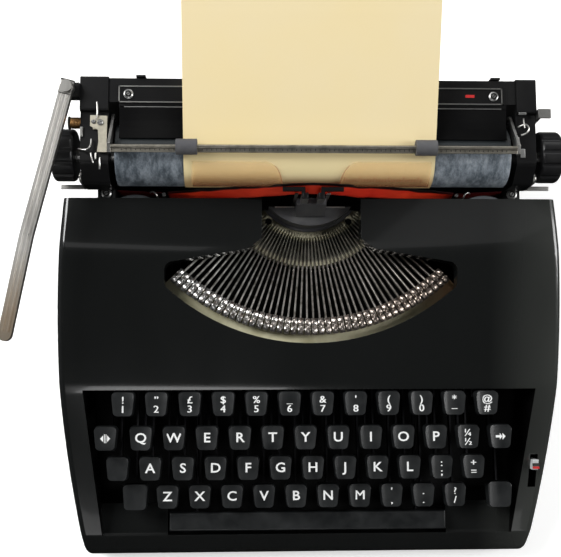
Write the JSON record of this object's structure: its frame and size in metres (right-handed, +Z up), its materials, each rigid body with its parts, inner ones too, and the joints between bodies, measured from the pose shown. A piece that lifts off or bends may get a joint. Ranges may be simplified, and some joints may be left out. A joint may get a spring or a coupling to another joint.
{
  "type": "portable typewriter",
  "caption": "Manual portable typewriter in a glossy casing: dished keys on levers, an open basket of typebars, a sliding carriage with a platen, bail, return lever and a sheet of paper.",
  "frame": {"origin": "centre of the four feet, on the surface that they stand on", "axes": "+X to the typist's right, along the keyboard's rows; +Y to the back; +Z up"},
  "size_m": [0.3123, 0.3065, 0.1287],
  "materials": {
    "casing": "gloss",
    "pan": "satin",
    "feet": "matt",
    "frame_steel": "satin",
    "rod_steel": "brushed",
    "key_plastic": "satin",
    "selector_plastic": "gloss",
    "type_steel": "polished",
    "segment_steel": "dull",
    "plate_blue": "satin",
    "felt": "felt",
    "clear_card": "clear",
    "vibrator_steel": "polished",
    "ribbon_cloth": "woven",
    "spool_steel": "satin",
    "carriage_black": "gloss",
    "strip_black": "satin",
    "paper": "matt",
    "platen_rubber": "matt",
    "knob_plastic": "satin",
    "feed_rubber": "matt",
    "chrome_trim": "polished",
    "grey_rubber": "matt"
  },
  "bodies": {
    "machine": {"base_pan": "pan", "rubber_feet": "feet", "top_cover": "casing", "rear_housing": "casing", "side_frame_left": "frame_steel", "side_frame_right": "frame_steel", "fulcrum_rod": "rod_steel", "cross_beam": "frame_steel", "lever_comb": "frame_steel", "spool_decks": "frame_steel", "carriage_rail": "frame_steel", "frame_lugs": "rod_steel", "type_guide": "plate_blue", "card_guide_left": "clear_card", "card_guide_right": "clear_card", "ribbon": "ribbon_cloth"},
    "number_row": {"number_row_keys": "key_plastic"},
    "top_row": {"top_row_keys": "key_plastic"},
    "home_row": {"home_row_keys": "key_plastic"},
    "bottom_row": {"bottom_row_keys": "key_plastic"},
    "g_key": {"key_g": "key_plastic"},
    "shifts": {"shift_keys": "key_plastic"},
    "lock_key": {"shift_lock_key": "key_plastic"},
    "back_key": {"backspace_key": "key_plastic"},
    "margin_key": {"margin_release_key": "key_plastic"},
    "bar": {"space_bar": "key_plastic"},
    "selector": {"colour_selector": "selector_plastic"},
    "basket": {"type_segment": "segment_steel", "segment_plate": "plate_blue", "basket_tray": "frame_steel", "type_rest": "frame_steel", "type_pad": "felt", "typebars": "type_steel"},
    "g_typebar": {"typebar_g": "type_steel"},
    "vibrator": {"ribbon_vibrator": "vibrator_steel"},
    "left_spool": {"ribbon_spool_left": "spool_steel"},
    "right_spool": {"ribbon_spool_right": "spool_steel"},
    "carriage": {"carriage_bed": "carriage_black", "end_plate_left": "carriage_black", "end_plate_right": "carriage_black", "paper_table": "carriage_black", "scale_strip": "strip_black", "margin_rail": "rod_steel", "paper_sheet": "paper"},
    "platen_roll": {"platen": "platen_rubber", "platen_shaft": "rod_steel", "knob_left": "knob_plastic", "knob_right": "knob_plastic"},
    "front_roller": {"feed_roller_front": "feed_rubber"},
    "rear_roller": {"feed_roller_rear": "feed_rubber"},
    "left_stop": {"margin_stop_left": "carriage_black"},
    "right_stop": {"margin_stop_right": "carriage_black"},
    "bail": {"paper_bail": "chrome_trim"},
    "bail_roll_left": {"bail_roller_left": "grey_rubber"},
    "bail_roll_right": {"bail_roller_right": "grey_rubber"},
    "lever": {"return_lever": "chrome_trim"},
    "release_lever": {"paper_release_lever": "chrome_trim"},
    "left_tab": {"release_tab_left": "chrome_trim"},
    "right_tab": {"release_tab_right": "chrome_trim"}
  },
  "joints": [
    {"name": "number_row_press", "type": "hinge", "parent": "machine", "child": "number_row", "pos_m": [0, 0.06, 0.016], "axis": [1, 0, 0], "range_deg": [0, 4.5], "stiffness_Nm_per_rad": 2, "springref_deg": -5.73},
    {"name": "top_row_press", "type": "hinge", "parent": "machine", "child": "top_row", "pos_m": [0, 0.06, 0.016], "axis": [1, 0, 0], "range_deg": [0, 4], "stiffness_Nm_per_rad": 2, "springref_deg": -5.73},
    {"name": "home_row_press", "type": "hinge", "parent": "machine", "child": "home_row", "pos_m": [0, 0.06, 0.016], "axis": [1, 0, 0], "range_deg": [0, 3.8], "stiffness_Nm_per_rad": 2, "springref_deg": -5.73},
    {"name": "bottom_row_press", "type": "hinge", "parent": "machine", "child": "bottom_row", "pos_m": [0, 0.06, 0.016], "axis": [1, 0, 0], "range_deg": [0, 3.4], "stiffness_Nm_per_rad": 2, "springref_deg": -5.73},
    {"name": "key_g_press", "type": "hinge", "parent": "machine", "child": "g_key", "pos_m": [0, 0.06, 0.016], "axis": [1, 0, 0], "range_deg": [0, 4], "stiffness_Nm_per_rad": 1, "springref_deg": -5.73},
    {"name": "typebar_g_swing", "type": "hinge", "parent": "basket", "child": "g_typebar", "pos_m": [-0.00095, 0.04601, 0.042], "axis": [0.9997, -0.0227, 0], "range_deg": [-94, 0]},
    {"name": "basket_shift", "type": "slide", "parent": "machine", "child": "basket", "axis": [0, 0, 1], "range_m": [-0.006, 0], "stiffness_N_per_m": 600, "springref_m": 0.015},
    {"name": "shift_press", "type": "hinge", "parent": "machine", "child": "shifts", "pos_m": [0, 0.06, 0.016], "axis": [1, 0, 0], "range_deg": [0, 3.4]},
    {"name": "shift_lock_press", "type": "hinge", "parent": "machine", "child": "lock_key", "pos_m": [0, 0.06, 0.016], "axis": [1, 0, 0], "range_deg": [0, 3.8], "stiffness_Nm_per_rad": 0.3, "springref_deg": -5.73},
    {"name": "backspace_press", "type": "hinge", "parent": "machine", "child": "back_key", "pos_m": [0, 0.06, 0.016], "axis": [1, 0, 0], "range_deg": [0, 4], "stiffness_Nm_per_rad": 0.3, "springref_deg": -5.73},
    {"name": "margin_release_press", "type": "hinge", "parent": "machine", "child": "margin_key", "pos_m": [0, 0.06, 0.016], "axis": [1, 0, 0], "range_deg": [0, 4], "stiffness_Nm_per_rad": 0.3, "springref_deg": -5.73},
    {"name": "space_bar_press", "type": "hinge", "parent": "machine", "child": "bar", "pos_m": [0, 0.06, 0.016], "axis": [1, 0, 0], "range_deg": [0, 2.5], "stiffness_Nm_per_rad": 1, "springref_deg": -4.58},
    {"name": "colour_selector_slide", "type": "slide", "parent": "machine", "child": "selector", "axis": [0, 1, 0], "range_m": [-0.008, 0]},
    {"name": "vibrator_lift", "type": "slide", "parent": "machine", "child": "vibrator", "axis": [0, 0, 1], "range_m": [0, 0.007]},
    {"name": "left_spool_turn", "type": "hinge", "parent": "machine", "child": "left_spool", "pos_m": [-0.101, 0.053, 0.062], "axis": [0, 0, 1], "continuous": true},
    {"name": "right_spool_turn", "type": "hinge", "parent": "machine", "child": "right_spool", "pos_m": [0.101, 0.053, 0.062], "axis": [0, 0, 1], "continuous": true},
    {"name": "carriage_slide", "type": "slide", "parent": "machine", "child": "carriage", "axis": [1, 0, 0], "range_m": [-0.1, 0.1]},
    {"name": "platen_turn", "type": "hinge", "parent": "carriage", "child": "platen_roll", "pos_m": [0, 0.092, 0.084], "axis": [1, 0, 0], "continuous": true},
    {"name": "front_roller_turn", "type": "hinge", "parent": "carriage", "child": "front_roller", "pos_m": [0, 0.081, 0.0651], "axis": [1, 0, 0], "continuous": true},
    {"name": "rear_roller_turn", "type": "hinge", "parent": "carriage", "child": "rear_roller", "pos_m": [0, 0.103, 0.0651], "axis": [1, 0, 0], "continuous": true},
    {"name": "left_stop_slide", "type": "slide", "parent": "carriage", "child": "left_stop", "axis": [1, 0, 0], "range_m": [0, 0.08]},
    {"name": "right_stop_slide", "type": "slide", "parent": "carriage", "child": "right_stop", "axis": [1, 0, 0], "range_m": [-0.08, 0]},
    {"name": "bail_lift", "type": "hinge", "parent": "carriage", "child": "bail", "pos_m": [0, 0.11, 0.092], "axis": [-1, 0, 0], "range_deg": [0, 38]},
    {"name": "left_bail_roller_turn", "type": "hinge", "parent": "bail", "child": "bail_roll_left", "pos_m": [-0.0694, 0.0915, 0.1074], "axis": [1, 0, 0], "continuous": true},
    {"name": "right_bail_roller_turn", "type": "hinge", "parent": "bail", "child": "bail_roll_right", "pos_m": [0.0603, 0.0915, 0.1074], "axis": [1, 0, 0], "continuous": true},
    {"name": "return_lever_swing", "type": "hinge", "parent": "carriage", "child": "lever", "pos_m": [-0.1342, 0.1242, 0.1054], "axis": [0, 0, 1], "range_deg": [0, 32], "stiffness_Nm_per_rad": 0.05, "springref_deg": -28.65},
    {"name": "paper_release", "type": "hinge", "parent": "carriage", "child": "release_lever", "pos_m": [0.1247, 0.112, 0.086], "axis": [1, 0, 0], "range_deg": [0, 20]},
    {"name": "carriage_release_left", "type": "hinge", "parent": "carriage", "child": "left_tab", "pos_m": [-0.1289, 0.079, 0.088], "axis": [1, 0, 0], "range_deg": [0, 8], "stiffness_Nm_per_rad": 0.05, "springref_deg": -17.19},
    {"name": "carriage_release_right", "type": "hinge", "parent": "carriage", "child": "right_tab", "pos_m": [0.1245, 0.079, 0.088], "axis": [1, 0, 0], "range_deg": [0, 8], "stiffness_Nm_per_rad": 0.05, "springref_deg": -17.19}
  ],
  "couplings": [
    {"joint": "typebar_g_swing", "follows": "key_g_press", "ratio": -23.5},
    {"joint": "shift_press", "follows": "basket_shift", "rad_per_m": -9.5},
    {"joint": "front_roller_turn", "follows": "platen_turn", "ratio": -4.359},
    {"joint": "rear_roller_turn", "follows": "platen_turn", "ratio": -4.359}
  ]
}
